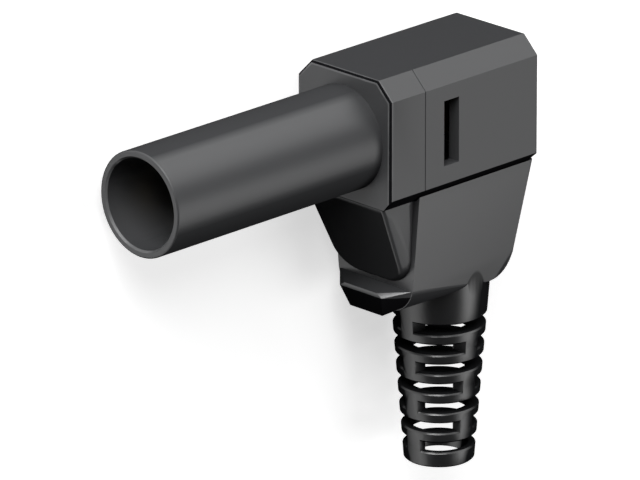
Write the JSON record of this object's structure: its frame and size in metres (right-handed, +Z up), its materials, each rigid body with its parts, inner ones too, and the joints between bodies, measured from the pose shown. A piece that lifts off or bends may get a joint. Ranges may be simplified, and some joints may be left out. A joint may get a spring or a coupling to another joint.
{
  "type": "banana plug",
  "caption": "Right-angled shrouded plug for 4 mm sockets: a rigid insulating sleeve on a box-shaped hollow head, closed from below by a slide-off cover with a slotted bend relief.",
  "frame": {"origin": "the point where the sleeve's axis meets the front face of the head", "axes": "+X along the sleeve towards its mouth, +Y along the bend relief towards its open end, +Z up out of the side of the head, with the plug lying on its other side"},
  "size_m": [0.0371, 0.0335, 0.0098],
  "materials": {
    "housing_plastic": "black moulded plastic, satin",
    "cover_plastic": "black moulded plastic, satin",
    "contact_brass": "turned, plain",
    "spring_bronze": "rolled spring sheet"
  },
  "bodies": {
    "plug_body": {"housing": "housing_plastic", "plug_pin": "contact_brass", "spring_cage": "spring_bronze"},
    "cover": {"cover": "cover_plastic"}
  },
  "joints": [
    {"name": "cover_slide", "type": "slide", "parent": "plug_body", "child": "cover", "axis": [0, 1, 0], "range_m": [0, 0.012]}
  ]
}
